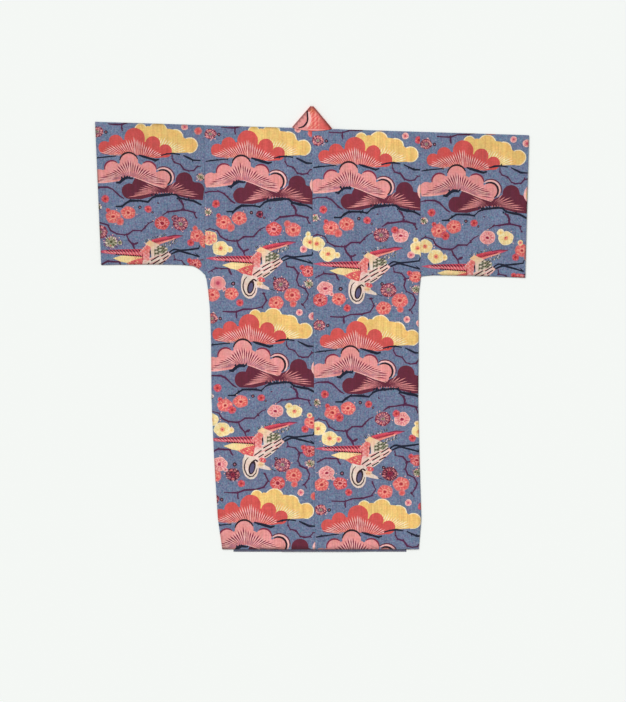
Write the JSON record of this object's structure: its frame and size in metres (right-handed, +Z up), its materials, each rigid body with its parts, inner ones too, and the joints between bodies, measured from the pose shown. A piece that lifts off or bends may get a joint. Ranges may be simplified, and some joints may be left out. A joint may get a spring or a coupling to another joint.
{
  "type": "kimono",
  "caption": "Kimono laid flat face down, back uppermost, with short square sleeves, crossed fronts below and the folded collar as a peak behind the neck.",
  "frame": {"origin": "middle of the garment's bounding box, on the surface it lies on", "axes": "+Z up, off the floor and out of the garment's back; +Y from the hem to the collar; +X from the wearer's left to the wearer's right"},
  "size_m": [1.388, 1.4258, 0.0079],
  "materials": {
    "printed_cloth": "matte dyed cotton",
    "printed_collar": "matte dyed cotton, folded double"
  },
  "bodies": {
    "root": {"body_left": "printed_cloth", "body_right": "printed_cloth", "okumi_left": "printed_cloth", "okumi_right": "printed_cloth", "sleeve_left": "printed_cloth", "sleeve_right": "printed_cloth", "collar": "printed_collar"}
  },
  "joints": []
}
